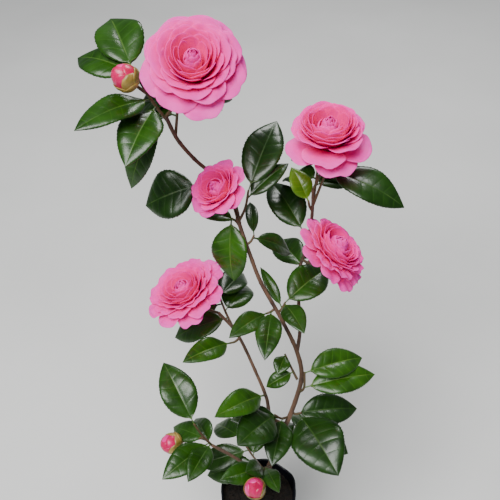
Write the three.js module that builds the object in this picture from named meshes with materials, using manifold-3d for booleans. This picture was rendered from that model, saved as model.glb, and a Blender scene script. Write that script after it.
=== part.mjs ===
// A young camellia shrub in a soft nursery bag: five double blooms, three buds and glossy oval leaves
// on one slender, bent stem with four side limbs. Millimetres, +Z up, with the origin in the middle of
// the bag's flat underside. +Y runs away from the viewer and +X to the viewer's right.
import * as THREE from "three";
import { mergeVertices } from "three/addons/utils/BufferGeometryUtils.js";
import Module from "manifold-3d";

const wasm = await Module();
wasm.setup();

// Driving dimensions
const BAG_RADIUS = 40;
const BAG_HEIGHT = 150;
const BAG_WALL = 1.6;
const BAG_HEM = 3;
const SOIL_LEVEL = 138;
const STEM_RADIUS = 3.2;
const LEAF_LENGTH = 62;
const LEAF_THICKNESS = 1;
const PETAL_THICKNESS = 1.2;
const CLEARANCE = 0.3;

// Worked out from them, or common to many pieces
const FLARE_RADIUS = STEM_RADIUS * 1.6;
const FLARE_HEIGHT = STEM_RADIUS * 5;
const STEM_TIP_RADIUS = STEM_RADIUS * 0.56;
const TWIG_RADIUS = STEM_RADIUS * 0.42;
const BAG_SIDES = 24;
const STEM_SIDES = 9;
const BOUGH_SIDES = 7;
const TWIG_SIDES = 5;
const LIMB_STEP = 14;
const GOLDEN_TURN = 137.5;
const SUNWARD = new THREE.Vector3(0, -0.35, 0.94).normalize();
const UP = new THREE.Vector3(0, 0, 1);

const COLOURS = {
  bark: { color: 0x7d5c48, roughness: 0.8, metalness: 0 },
  leaf: { color: 0x2f6b1f, roughness: 0.3, metalness: 0 },
  petal: { color: 0xf285b4, roughness: 0.55, metalness: 0 },
  bag: { color: 0x17171c, roughness: 0.35, metalness: 0 },
  soil: { color: 0x2a1f18, roughness: 0.95, metalness: 0 },
};

// Limbs: the points that the centre line bends through, and the radius at each end.
const STEM_POINTS = [
  [0, 0, SOIL_LEVEL + CLEARANCE], [8, 3, 175], [18, 9, 219], [36, 22, 284], [41, 33, 308],
  [35.5, 42, 334], [20, 54, 367], [1, 65, 403], [-9, 74, 430], [-20, 88, 460],
];
const BOUGHS = {
  crown_bough: {
    points: [
      [-18, 85, 456], [-24, 108, 464], [-40, 121, 480], [-56, 118, 500], [-69, 111, 525], [-76, 99, 556],
    ],
    from: 0.6,
    to: 0.5,
  },
  right_bough: {
    points: [
      [36, 41, 332], [39, 58, 346], [38, 80, 364], [39, 100, 387], [44, 107, 402], [46.5, 108, 421],
      [47, 101, 455], [46, 98, 483],
    ],
    from: 0.53,
    to: 0.45,
  },
  left_bough: {
    points: [[27, 15, 252], [13, 16, 262], [7, 20, 291], [-1, 28, 312], [-22, 46, 357], [-38, 56, 372]],
    from: 0.56,
    to: 0.45,
  },
  low_bough: { points: [[8, 3, 175], [-6, -5, 200], [-24, -6, 226], [-47, 0, 239]], from: 0.56, to: 0.45 },
};

// Small shared tools

function vector(point) {
  return new THREE.Vector3(...point);
}

// A repeatable number from 0 to 1 for any whole number.
function chance(index) {
  const wave = Math.sin(index * 12.9898) * 43758.5453;
  return wave - Math.floor(wave);
}

function mix(a, b, share) {
  return a + (b - a) * share;
}

// A unit direction from a heading round +Z and a rise above the level, both in degrees.
function direction(heading, rise) {
  const turn = THREE.MathUtils.degToRad(heading);
  const climb = THREE.MathUtils.degToRad(rise);
  const level = Math.cos(climb);
  return new THREE.Vector3(Math.cos(turn) * level, Math.sin(turn) * level, Math.sin(climb));
}

// A closed mesh through rings of equal point count, with a fan of faces on the first and last ring.
function loft(rings) {
  const sides = rings[0].length;
  const positions = rings.flat().flatMap((point) => point.toArray());
  const faces = [];
  for (let row = 0; row + 1 < rings.length; row += 1) {
    for (let i = 0; i < sides; i += 1) {
      const a = row * sides + i;
      const b = row * sides + ((i + 1) % sides);
      faces.push(a, b, b + sides, a, b + sides, a + sides);
    }
  }
  const last = (rings.length - 1) * sides;
  for (let i = 1; i + 1 < sides; i += 1) {
    faces.push(0, i + 1, i);
    faces.push(last, last + i, last + i + 1);
  }
  const geometry = new THREE.BufferGeometry();
  geometry.setAttribute("position", new THREE.Float32BufferAttribute(positions, 3));
  geometry.setIndex(faces);
  return geometry;
}

function signedVolume(positions, faces) {
  const corner = (index) => new THREE.Vector3().fromArray(positions, faces[index] * 3);
  let sum = 0;
  for (let i = 0; i < faces.length; i += 3) {
    sum += corner(i).dot(corner(i + 1).cross(corner(i + 2))) / 6;
  }
  return sum;
}

// The geometry as a solid for joining and cutting, with its faces turned outward.
function toSolid(geometry) {
  const bare = geometry.clone();
  bare.deleteAttribute("normal");
  bare.deleteAttribute("uv");
  const merged = mergeVertices(bare, 1e-4);
  const positions = Float32Array.from(merged.attributes.position.array);
  const faces = Uint32Array.from(merged.index.array);
  if (signedVolume(positions, faces) < 0) {
    for (let i = 0; i < faces.length; i += 3) {
      [faces[i], faces[i + 1]] = [faces[i + 1], faces[i]];
    }
  }
  return new wasm.Manifold(new wasm.Mesh({ numProp: 3, vertProperties: positions, triVerts: faces }));
}

function toGeometry(solid) {
  const mesh = solid.getMesh();
  const geometry = new THREE.BufferGeometry();
  geometry.setAttribute("position", new THREE.BufferAttribute(Float32Array.from(mesh.vertProperties), 3));
  geometry.setIndex(new THREE.BufferAttribute(Uint32Array.from(mesh.triVerts), 1));
  geometry.computeVertexNormals();
  return geometry;
}

function joined(solids) {
  return solids.reduce((whole, solid) => whole.add(solid));
}

// Limbs

// A tapering limb along a smooth curve; radiusAt gives the radius for a share of its length.
function limbSolid(curve, radiusAt, sides) {
  const steps = Math.max(2, Math.round(curve.getLength() / LIMB_STEP));
  const frames = curve.computeFrenetFrames(steps, false);
  const rings = [];
  for (let step = 0; step <= steps; step += 1) {
    const share = step / steps;
    const centre = curve.getPointAt(share);
    const ring = [];
    for (let side = 0; side < sides; side += 1) {
      const turn = (2 * Math.PI * side) / sides;
      const offset = frames.normals[step].clone().multiplyScalar(Math.cos(turn));
      offset.addScaledVector(frames.binormals[step], Math.sin(turn)).multiplyScalar(radiusAt(share));
      ring.push(centre.clone().add(offset));
    }
    rings.push(ring);
  }
  return toSolid(loft(rings));
}

function curveThrough(points) {
  return new THREE.CatmullRomCurve3(points.map(vector), false, "centripetal");
}

// The main stem thins upward from a flare that spreads on the soil.
const stemCurve = curveThrough(STEM_POINTS);

function stemRadius(share) {
  const height = share * stemCurve.getLength();
  const flare = Math.max(0, 1 - height / FLARE_HEIGHT);
  const taper = Math.min(1, share * 1.5);
  return mix(STEM_RADIUS, STEM_TIP_RADIUS, taper) + (FLARE_RADIUS - STEM_RADIUS) * flare ** 2;
}

// The foot is cut level, so that it stands flat on the soil.
function levelFoot(solid) {
  const depth = BAG_RADIUS;
  const block = new THREE.BoxGeometry(2 * BAG_RADIUS, 2 * BAG_RADIUS, depth);
  block.translate(0, 0, SOIL_LEVEL + CLEARANCE - depth / 2);
  return solid.subtract(toSolid(block));
}

const limbs = {
  main_stem: { curve: stemCurve, radiusAt: stemRadius, sides: STEM_SIDES },
};
for (const [name, bough] of Object.entries(BOUGHS)) {
  const radiusAt = (share) => STEM_RADIUS * mix(bough.from, bough.to, share);
  limbs[name] = { curve: curveThrough(bough.points), radiusAt, sides: BOUGH_SIDES };
}

// The same limb grown by the clearance, which is cut out of whatever starts on it.
function grownLimb(name) {
  const limb = limbs[name];
  const radiusAt = (share) => limb.radiusAt(share) / Math.cos(Math.PI / limb.sides) + CLEARANCE;
  return limbSolid(limb.curve, radiusAt, limb.sides);
}

// What starts on a limb ends the clearance short of it, and loses any scrap on the limb's far side.
function clearOfLimbs(solid) {
  const cut = Object.keys(limbs).reduce((rest, name) => rest.subtract(grownLimb(name)), solid);
  return cut.decompose().reduce((best, piece) => (piece.volume() > best.volume() ? piece : best));
}

// What is already in place, for the rule that a leaf keeps clear of its neighbours.
const placed = [];

function isBlocked(solid) {
  return placed.some((other) => !other.intersect(solid).isEmpty());
}

// Leaves

const LEAF_STATIONS = [0, 0.12, 0.3, 0.52, 0.76, 1];
const PETIOLE_END = 0.1;
const PETIOLE_HALF_WIDTH = 1;
const LEAF_FOLD = THREE.MathUtils.degToRad(14);
const LEAF_BOW = 0.07;
const LEAF_BROAD = 0.52;

// Half the blade's width as a share of its widest: an oval, drawn out to a point at the tip.
function leafOutline(share) {
  const shape = (along) => along ** 0.75 * (1 - along) ** 0.95;
  const widest = 0.44;
  return shape(Math.max(0, (share - PETIOLE_END) / (1 - PETIOLE_END))) / shape(widest);
}

// Where a leaf lies: its base, its unit directions, length and widest half width.
function leafFrame(base, leaf) {
  const along = direction(leaf.heading, leaf.rise);
  const face = SUNWARD.clone().addScaledVector(along, -SUNWARD.dot(along)).normalize();
  face.applyAxisAngle(along, THREE.MathUtils.degToRad(leaf.roll));
  const side = along.clone().cross(face);
  return { base, along, face, side, length: leaf.length, halfWidth: (leaf.length * leaf.broad) / 2 };
}

// A point of the leaf's middle surface: share runs from stalk to tip, across from -1 to 1.
function leafPoint(frame, share, across, margin) {
  const half = Math.max(PETIOLE_HALF_WIDTH * 0.5, frame.halfWidth * leafOutline(share)) + margin;
  const fold = leafOutline(share) * LEAF_FOLD;
  return frame.base.clone()
    .addScaledVector(frame.along, (frame.length + margin) * share)
    .addScaledVector(frame.face, frame.length * LEAF_BOW * 4 * share * (1 - share))
    .addScaledVector(frame.side, across * half * Math.cos(fold))
    .addScaledVector(frame.face, Math.abs(across) * half * Math.sin(fold));
}

// The leaf as a folded plate; a margin gives the larger body that is tested against its neighbours.
function leafSolid(frame, margin = 0) {
  const rings = LEAF_STATIONS.map((share) => {
    const upper = [-1, 0, 1].map((across) => leafPoint(frame, share, across, margin));
    const lift = (share <= PETIOLE_END ? PETIOLE_HALF_WIDTH : LEAF_THICKNESS / 2) + margin;
    const lower = upper.map((point) => point.clone().addScaledVector(frame.face, -lift)).reverse();
    upper.forEach((point) => point.addScaledVector(frame.face, lift));
    return [...upper, ...lower];
  });
  return toSolid(loft(rings));
}

// Blooms and buds

// A bloom's petals turn round its axis by the golden angle, from the outermost inward.
const PETAL_STATIONS = [0.12, 0.45, 0.75, 1];
const PETAL_WIDTHS = [0.3, 0.78, 1, 0.5];
const SOLID_PETALS = 10;
const ALL_PETALS = 46;
const HEART_SIDES = 9;

const BLOOMS = {
  top_bloom: {
    on: "crown_bough", at: 1, base: [-51.5, 94, 596], facing: [0.07, -0.62, 0.78], radius: 42.5, height: 22,
  },
  small_bloom: {
    on: "main_stem", at: 1, base: [-28, 97, 476.5], facing: [-0.53, -0.3, 0.77], radius: 28.5, height: 26,
  },
  left_bloom: {
    on: "left_bough", at: 1, base: [-63.5, 61, 385], facing: [-0.39, -0.05, 0.92], radius: 40.5, height: 24,
  },
  upper_right_bloom: {
    on: "right_bough", at: 1, base: [55.5, 100, 525], facing: [-0.01, -0.12, 0.99], radius: 37, height: 32,
  },
  right_bloom: {
    on: "right_bough", at: 0.5, base: [59, 73, 427.5], facing: [0.62, -0.03, 0.78], radius: 38.5, height: 23,
  },
};

// How far out and how high a petal's tip stands, for a petal's place from 0 outermost to 1 innermost.
function petalTip(bloom, place) {
  const out = bloom.radius * (1 - place) ** 0.9;
  const high = bloom.height * (0.22 + 0.78 * Math.sqrt(1 - (1 - place) ** 2));
  return { out, high };
}

// Unit directions round a bloom's axis.
function bloomFrame(bloom) {
  const axis = vector(bloom.facing).normalize();
  const right = UP.clone().cross(axis).normalize();
  const ahead = axis.clone().cross(right);
  return { axis, right, ahead };
}

// A point of a petal's middle surface, and its outward face.
function petalPoint(bloom, frame, index, share, across) {
  const place = index / ALL_PETALS;
  const tip = petalTip(bloom, place);
  const turn = THREE.MathUtils.degToRad(index * GOLDEN_TURN);
  const radial = frame.right.clone().multiplyScalar(Math.cos(turn));
  radial.addScaledVector(frame.ahead, Math.sin(turn));
  const tangent = frame.axis.clone().cross(radial);
  const open = Math.min(1, place * 2);
  const bend = { out: tip.out * mix(0.55, 0.9, open), high: tip.high * mix(1.5, 0.3, open) };
  const out = 2 * share * (1 - share) * bend.out + share * share * tip.out;
  const high = 2 * share * (1 - share) * bend.high + share * share * tip.high;
  const half = bloom.radius * 0.46 * (1 - place) ** 0.5 * across;
  return vector(bloom.base)
    .addScaledVector(radial, out)
    .addScaledVector(frame.axis, high + Math.abs(half) * 0.12)
    .addScaledVector(tangent, half);
}

function petalSolid(bloom, frame, index) {
  const rings = PETAL_STATIONS.map((share, row) => {
    const width = PETAL_WIDTHS[row];
    const upper = [-width, 0, width].map((across) => petalPoint(bloom, frame, index, share, across));
    const lift = PETAL_THICKNESS / 2;
    const lower = upper.map((point) => point.clone().addScaledVector(frame.axis, -lift)).reverse();
    upper.forEach((point) => point.addScaledVector(frame.axis, lift));
    return [...upper, ...lower];
  });
  return toSolid(loft(rings));
}

// A turned body on an axis, from a profile of [radius, height] that starts and ends on the axis.
function turnedSolid(base, axis, profile, segments) {
  const geometry = new THREE.LatheGeometry(profile.map(([r, h]) => new THREE.Vector2(r, h)), segments);
  const turn = new THREE.Quaternion().setFromUnitVectors(new THREE.Vector3(0, 1, 0), axis);
  geometry.applyQuaternion(turn);
  geometry.translate(...base.toArray());
  return toSolid(geometry);
}

// The tight middle of a bloom, with the cup of sepals under it.
function bloomHeart(bloom, frame) {
  const r = bloom.radius;
  const h = bloom.height;
  const profile = [
    [0, -0.2 * h], [0.1 * r, -0.16 * h], [0.16 * r, 0.05 * h], [0.5 * r, 0.36 * h], [0.66 * r, 0.66 * h],
    [0.54 * r, 0.68 * h], [0.5 * r, 0.86 * h], [0.36 * r, 0.84 * h], [0.26 * r, h], [0, 0.92 * h],
  ];
  return turnedSolid(vector(bloom.base), frame.axis, profile, HEART_SIDES);
}

// The flowering twig bends from its limb into the bloom's axis.
function bloomTwig(bloom, frame) {
  const limb = limbs[bloom.on];
  const start = limb.curve.getPointAt(bloom.at);
  const end = vector(bloom.base);
  const bend = end.clone().addScaledVector(frame.axis, -end.distanceTo(start) * 0.4);
  return new THREE.QuadraticBezierCurve3(start, bend, end);
}

const BUD_RADIUS = 10;
const BUD_SIDES = 8;

function budSolid(base, axis) {
  const r = BUD_RADIUS;
  const profile = [
    [0, -0.1 * r], [0.45 * r, 0], [0.9 * r, 0.5 * r], [r, 1.05 * r], [0.8 * r, 1.65 * r], [0.4 * r, 2.05 * r],
    [0, 2.2 * r],
  ];
  return turnedSolid(base, axis, profile, BUD_SIDES);
}

// Sprays: each is one twig with its leaves. A row of leaves holds, for each leaf, its place along the
// twig, its heading and rise in degrees and its length; broad and roll follow where they aren't usual.
const SPRAYS = {
  top_left_spray: {
    twig: [[-75, 101, 550], [-84, 99, 567], [-99, 101, 597]],
    leaves: [
      [0.32, -108, -12, 62, 0.58], [0.2, -143, -58, 70, 0.4], [0.45, -136, 5, 70, 0.42],
      [0.9, 148, 0, 60, 0.58], [0.97, 112, 16, 66, 0.62],
    ],
    bud: { at: 0.55, base: [-97, 93, 588], facing: [-0.55, -0.35, 0.75] },
  },
  crown_left_spray: {
    twig: [[-42, 121, 482], [-49, 126, 475], [-55, 125, 468]],
    leaves: [[0.95, 178, -26, 60, 0.8, -20]],
  },
  upper_middle_spray: {
    twig: [[-19, 86, 456], [-13, 91, 468], [-10, 96, 484]],
    leaves: [[0.97, 68, 27, 76, 0.48], [0.75, 34, 27, 48, 0.42]],
  },
  stem_left_spray: {
    twig: [[-17, 84.5, 452], [-21, 89, 455], [-25, 92, 456]],
    leaves: [[1, -90, -64, 60, 0.62, 25], [0.6, 152, -2, 40, 0.45]],
  },
  stem_right_spray: {
    twig: [[-13, 77, 437], [-8, 79, 440], [-5, 83, 444]],
    leaves: [[0.8, 23, -38, 52, 0.42], [0.97, 95, 10, 42, 0.3]],
  },
  middle_left_spray: {
    twig: [[14, 57, 376], [10, 55, 374], [6, 54, 373]],
    leaves: [[0.9, -132, 13, 50, 0.44], [0.4, -97, 2, 56, 0.46]],
  },
  middle_right_spray: {
    twig: [[17, 56, 371], [21, 58, 376], [24, 61, 381]],
    leaves: [[0.95, 44, 7, 60, 0.62], [0.85, -70, 13, 45, 0.5], [0.5, 121, 30, 44, 0.26]],
  },
  right_top_spray: {
    twig: [[46.5, 100, 462], [51, 97, 484], [56, 93, 509]],
    leaves: [[0.97, -24, -11.5, 71, 0.48]],
  },
  right_crown_spray: {
    twig: [[46.5, 101, 458], [44, 99, 464], [42.5, 98, 471]],
    leaves: [[0.9, 125, 42, 34, 0.62]],
  },
  right_middle_spray: {
    twig: [[46, 107, 422], [43, 105, 426], [40, 104, 430]],
    leaves: [[0.9, 118, 17, 66, 0.55]],
  },
  left_bough_spray: {
    twig: [[-18, 43, 352], [-23, 42, 347], [-28, 43, 344]],
    leaves: [[0.95, -138, 20, 56, 0.44]],
  },
  left_low_spray: {
    twig: [[6.5, 21, 294], [5, 18, 297], [4, 16, 299]],
    leaves: [[0.9, -135, 27, 66, 0.42]],
  },
  right_low_spray: {
    twig: [[39, 25, 292], [43, 23, 301], [43.5, 30, 317]],
    leaves: [[0.4, 12, 3, 72, 0.44], [0.97, 22, -4, 64, 0.5]],
  },
  stem_low_spray: {
    twig: [[37, 31, 304], [31, 40, 312], [25, 48, 322]],
    leaves: [[0.97, -110, -8, 22, 0.8], [0.3, 200, -20, 30, 0.6]],
  },
  right_front_spray: {
    twig: [[32, 19, 268], [37, 17, 267], [42, 17, 270]],
    leaves: [[0.7, -64, 3, 74, 0.72], [0.3, 12, -8, 68, 0.5]],
  },
  front_spray: {
    twig: [[29, 17, 262], [22, 10, 270], [15, 6, 282]],
    leaves: [[0.97, -128, 20, 58, 0.68], [0.4, -102, 6, 54, 0.55], [0.6, -166, 17, 50, 0.5]],
  },
  foot_spray: {
    twig: [[12, 5, 192], [8, -4, 204], [0, -12, 212]],
    leaves: [[0.6, -72, 28, 42, 0.45], [0.9, -150, 25, 48], [0.75, -128, 50, 40]],
    bud: { at: 0.95, base: [-3, -34, 213], facing: [-0.1, -0.35, 0.93] },
  },
  low_left_spray: {
    twig: [[-47, 0, 239], [-55, 0, 255], [-63, 2, 273]],
    leaves: [
      [0.97, 122, 28, 68, 0.54], [0.08, 114, -16, 46], [0.35, 145, -20, 46], [0.12, -134, 8, 60, 0.5],
      [0.05, -112, 14, 50, 0.5],
    ],
    bud: { at: 0.4, base: [-79, 4, 238], facing: [-0.75, -0.4, 0.4] },
  },
};

// Sprays of the side turned away from the viewer, whose leaves follow a seeded rule.
const GROWN_SPRAYS = {
  crown_back_spray: { on: "crown_bough", at: 0.8, heading: 85, rise: 45, length: 52, count: 6, seed: 11 },
  right_back_spray: { on: "right_bough", at: 0.9, heading: 80, rise: 20, length: 44, count: 6, seed: 23 },
  right_side_spray: { on: "right_bough", at: 0.42, heading: 60, rise: -5, length: 36, count: 5, seed: 31 },
  left_back_spray: { on: "left_bough", at: 0.86, heading: 115, rise: 15, length: 40, count: 5, seed: 37 },
  low_right_back_spray: { on: "main_stem", at: 0.22, heading: 35, rise: 10, length: 45, count: 5, seed: 41 },
  low_left_back_spray: { on: "main_stem", at: 0.12, heading: 130, rise: 12, length: 45, count: 5, seed: 53 },
};

function listedLeaves(rows) {
  return rows.map(([at, heading, rise, length, broad = LEAF_BROAD, roll = 0]) =>
    ({ at, heading, rise, length, broad, roll }));
}

// Leaves stand on the twig's two sides by turns and one ends it; all hang a little.
function grownLeaves(spray) {
  return Array.from({ length: spray.count }, (_, index) => {
    const isLast = index + 1 === spray.count;
    const side = index % 2 === 0 ? 1 : -1;
    return {
      at: mix(0.3, 1, index / (spray.count - 1)),
      heading: spray.heading + (isLast ? 0 : side * mix(30, 65, chance(spray.seed + index))),
      rise: mix(-35, -5, chance(spray.seed * 2 + index)),
      length: LEAF_LENGTH * mix(1, 0.8, index / spray.count),
      broad: LEAF_BROAD,
      roll: 0,
    };
  });
}

function grownTwig(spray) {
  const start = limbs[spray.on].curve.getPointAt(spray.at);
  const along = direction(spray.heading, spray.rise);
  const middle = start.clone().addScaledVector(along, spray.length / 2);
  const end = start.clone().addScaledVector(along, spray.length).addScaledVector(UP, spray.length * 0.15);
  return [start, middle, end].map((point) => point.toArray());
}

function twigRadius(share) {
  return TWIG_RADIUS * mix(1, 0.7, share);
}

// A bud on its own short stalk, which leaves the twig at a share of its length.
function buddedStalk(curve, bud) {
  const base = vector(bud.base);
  const axis = vector(bud.facing).normalize();
  const bend = base.clone().addScaledVector(axis, -0.6 * BUD_RADIUS);
  const end = base.clone().addScaledVector(axis, 0.2 * BUD_RADIUS);
  const stalk = new THREE.QuadraticBezierCurve3(curve.getPointAt(bud.at), bend, end);
  return limbSolid(stalk, () => TWIG_RADIUS, TWIG_SIDES).add(budSolid(base, axis));
}

// A spray as one solid; a leaf that would meet a limb, a bloom or another spray is skipped.
function spraySolid(points, leaves, bud) {
  const curve = curveThrough(points);
  const pieces = [clearOfLimbs(limbSolid(curve, twigRadius, TWIG_SIDES))];
  if (bud) {
    pieces.push(buddedStalk(curve, bud));
  }
  for (const leaf of leaves) {
    const frame = leafFrame(curve.getPointAt(leaf.at), leaf);
    if (!isBlocked(leafSolid(frame, CLEARANCE))) {
      pieces.push(leafSolid(frame));
    }
  }
  return joined(pieces);
}

// Bag and soil

// The bag bulges a little where the soil fills it and stands on a flat round underside.
function bagSolid() {
  const r = BAG_RADIUS;
  const h = BAG_HEIGHT;
  const outer = [
    [0, 0], [0.86 * r, 0], [0.93 * r, BAG_HEM], [0.99 * r, 0.3 * h],
    [r, 0.7 * h], [0.975 * r, 0.9 * h], [r, h],
  ];
  const inner = outer.slice(1).reverse().map(([radius, height], index) =>
    [radius - BAG_WALL, index === 0 ? height : height + BAG_WALL * (1 - height / h)]);
  inner.push([0, BAG_WALL]);
  return turnedSolid(new THREE.Vector3(), UP, [...outer, ...inner], BAG_SIDES);
}

function soilSolid() {
  const r = BAG_RADIUS;
  const h = BAG_HEIGHT;
  const inset = BAG_WALL + CLEARANCE;
  const profile = [
    [0, inset], [0.86 * r - inset, inset], [0.93 * r - inset, BAG_HEM + inset], [0.99 * r - inset, 0.3 * h],
    [r - inset, 0.7 * h], [0.975 * r - inset, 0.9 * h], [0.975 * r - inset, SOIL_LEVEL - 2],
    [0.6 * r, SOIL_LEVEL], [0, SOIL_LEVEL],
  ];
  return turnedSolid(new THREE.Vector3(), UP, profile, BAG_SIDES);
}

function bloomSolid(bloom) {
  const frame = bloomFrame(bloom);
  const stalk = limbSolid(bloomTwig(bloom, frame), () => TWIG_RADIUS, TWIG_SIDES);
  const petals = Array.from({ length: SOLID_PETALS }, (_, index) => petalSolid(bloom, frame, index));
  return joined([clearOfLimbs(stalk), bloomHeart(bloom, frame), ...petals]);
}

// The whole shrub

const shrub = new THREE.Group();

function place(name, solid, look) {
  const mesh = new THREE.Mesh(toGeometry(solid), new THREE.MeshStandardMaterial(look));
  mesh.name = name;
  shrub.add(mesh);
  placed.push(solid);
}

place("nursery_bag", bagSolid(), COLOURS.bag);
place("soil", soilSolid(), COLOURS.soil);
place("main_stem", levelFoot(limbSolid(stemCurve, stemRadius, STEM_SIDES)), COLOURS.bark);
for (const name of Object.keys(BOUGHS)) {
  const { curve, radiusAt, sides } = limbs[name];
  place(name, limbSolid(curve, radiusAt, sides).subtract(grownLimb("main_stem")), COLOURS.bark);
}
for (const [name, bloom] of Object.entries(BLOOMS)) {
  place(name, bloomSolid(bloom), COLOURS.petal);
}
for (const [name, spray] of Object.entries(SPRAYS)) {
  place(name, spraySolid(spray.twig, listedLeaves(spray.leaves), spray.bud), COLOURS.leaf);
}
for (const [name, spray] of Object.entries(GROWN_SPRAYS)) {
  place(name, spraySolid(grownTwig(spray), grownLeaves(spray)), COLOURS.leaf);
}

export default shrub;
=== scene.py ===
"""A young camellia shrub in a soft nursery bag, dressed round its solids.

Sizes are in millimetres, in the solids' own frame, and turn into metres where a mesh is made.
Stems, twigs, leaves and petals follow the rules of the solids and carry them to finer shapes.
"""

import math

import bpy
import numpy as np
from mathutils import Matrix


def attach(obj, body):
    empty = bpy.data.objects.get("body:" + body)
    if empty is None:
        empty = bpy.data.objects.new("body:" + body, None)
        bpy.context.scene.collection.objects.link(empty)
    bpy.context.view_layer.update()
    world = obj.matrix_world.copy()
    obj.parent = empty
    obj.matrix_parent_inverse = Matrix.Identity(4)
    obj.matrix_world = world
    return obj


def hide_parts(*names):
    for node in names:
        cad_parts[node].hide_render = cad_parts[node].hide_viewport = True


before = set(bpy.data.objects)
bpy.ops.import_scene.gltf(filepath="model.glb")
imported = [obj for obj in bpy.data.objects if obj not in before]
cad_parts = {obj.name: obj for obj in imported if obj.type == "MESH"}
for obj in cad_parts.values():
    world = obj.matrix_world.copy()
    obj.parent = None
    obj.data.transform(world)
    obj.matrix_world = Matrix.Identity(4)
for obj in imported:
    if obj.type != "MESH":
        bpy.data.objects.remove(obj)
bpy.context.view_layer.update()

MM = 0.001
BODY = "root"

# Driving sizes, the same as in the solids
BAG_RADIUS = 40
BAG_HEIGHT = 150
BAG_HEM = 3
SOIL_LEVEL = 138
STEM_RADIUS = 3.2
LEAF_LENGTH = 62
CLEARANCE = 0.3
FLARE_RADIUS = STEM_RADIUS * 1.6
FLARE_HEIGHT = STEM_RADIUS * 5
STEM_TIP_RADIUS = STEM_RADIUS * 0.56
TWIG_RADIUS = STEM_RADIUS * 0.42
BUD_RADIUS = 10
GOLDEN_TURN = 137.5
UP = np.array([0.0, 0.0, 1.0])
SUNWARD = np.array([0.0, -0.35, 0.94]) / math.hypot(0.35, 0.94)

# Finer sizes, which only the looks need, with the sides of limbs and the steps between their rings
LEAF_THICKNESS = 0.5
PETAL_THICKNESS = 0.45
BOUGH_SIDES = 20
BOUGH_STEP = 1.6
TWIG_SIDES = 10
TWIG_STEP = 2

# Limbs: the points that the centre line bends through, and the share of the stem's radius at each end
STEM_POINTS = [
    (0, 0, SOIL_LEVEL + CLEARANCE), (8, 3, 175), (18, 9, 219), (36, 22, 284), (41, 33, 308),
    (35.5, 42, 334), (20, 54, 367), (1, 65, 403), (-9, 74, 430), (-20, 88, 460),
]
BOUGHS = {
    "crown_bough": {
        "points": [
            (-18, 85, 456), (-24, 108, 464), (-40, 121, 480), (-56, 118, 500), (-69, 111, 525),
            (-76, 99, 556),
        ],
        "from": 0.6, "to": 0.5,
    },
    "right_bough": {
        "points": [
            (36, 41, 332), (39, 58, 346), (38, 80, 364), (39, 100, 387), (44, 107, 402), (46.5, 108, 421),
            (47, 101, 455), (46, 98, 483),
        ],
        "from": 0.53, "to": 0.45,
    },
    "left_bough": {
        "points": [(27, 15, 252), (13, 16, 262), (7, 20, 291), (-1, 28, 312), (-22, 46, 357), (-38, 56, 372)],
        "from": 0.56, "to": 0.45,
    },
    "low_bough": {
        "points": [(8, 3, 175), (-6, -5, 200), (-24, -6, 226), (-47, 0, 239)],
        "from": 0.56, "to": 0.45,
    },
}

# Blooms: petals counts the open ones, of which the first ones, the skirt, lie round the rim, and gap
# is how far in the next ones start, as a share of the way to the heart. Spread is half an outer
# petal's width in degrees round the axis, rim is the height of the outer tips and cup that of the
# sepals, both as a share of the bloom's height, turn is where the outermost petal points, heart is
# the heart's share of the radius, lean is how far the heart is pushed toward the upper side, and
# crest is the heart's own height as a share of the bloom's.
BLOOMS = {
    "top_bloom": {
        "on": "crown_bough", "at": 1, "base": (-51.5, 94, 596), "facing": (0.07, -0.62, 0.78),
        "radius": 42.5, "height": 22, "petals": 44, "skirt": 8, "gap": 0.12, "spread": 34,
        "rim": 0.15, "cup": 0.1, "turn": 0, "heart": 0.15, "lean": 8.5, "crest": 1,
    },
    "small_bloom": {
        "on": "main_stem", "at": 1, "base": (-28, 97, 476.5), "facing": (-0.53, -0.3, 0.77),
        "radius": 28.5, "height": 26, "petals": 26, "skirt": 8, "gap": 0.15, "spread": 32,
        "rim": 0.5, "cup": 0.8, "turn": 20, "heart": 0.24, "lean": 0, "crest": 1,
    },
    "left_bloom": {
        "on": "left_bough", "at": 1, "base": (-63.5, 61, 385), "facing": (-0.39, -0.05, 0.92),
        "radius": 40.5, "height": 24, "petals": 48, "skirt": 9, "gap": 0.1, "spread": 24,
        "rim": 0.25, "cup": 0.2, "turn": 0, "heart": 0.16, "lean": 0, "crest": 1.05,
    },
    "upper_right_bloom": {
        "on": "right_bough", "at": 1, "base": (55.5, 100, 525), "facing": (-0.01, -0.12, 0.99),
        "radius": 37, "height": 32, "petals": 34, "skirt": 6, "gap": 0.2, "spread": 44,
        "rim": -0.06, "cup": 0.05, "turn": -70, "heart": 0.24, "lean": 0, "crest": 1,
    },
    "right_bloom": {
        "on": "right_bough", "at": 0.5, "base": (59, 73, 427.5), "facing": (0.62, -0.03, 0.78),
        "radius": 38.5, "height": 23, "petals": 46, "skirt": 9, "gap": 0.1, "spread": 23,
        "rim": 0.05, "cup": 0.1, "turn": 213, "heart": 0.24, "lean": 0, "crest": 1.14,
    },
}

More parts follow.
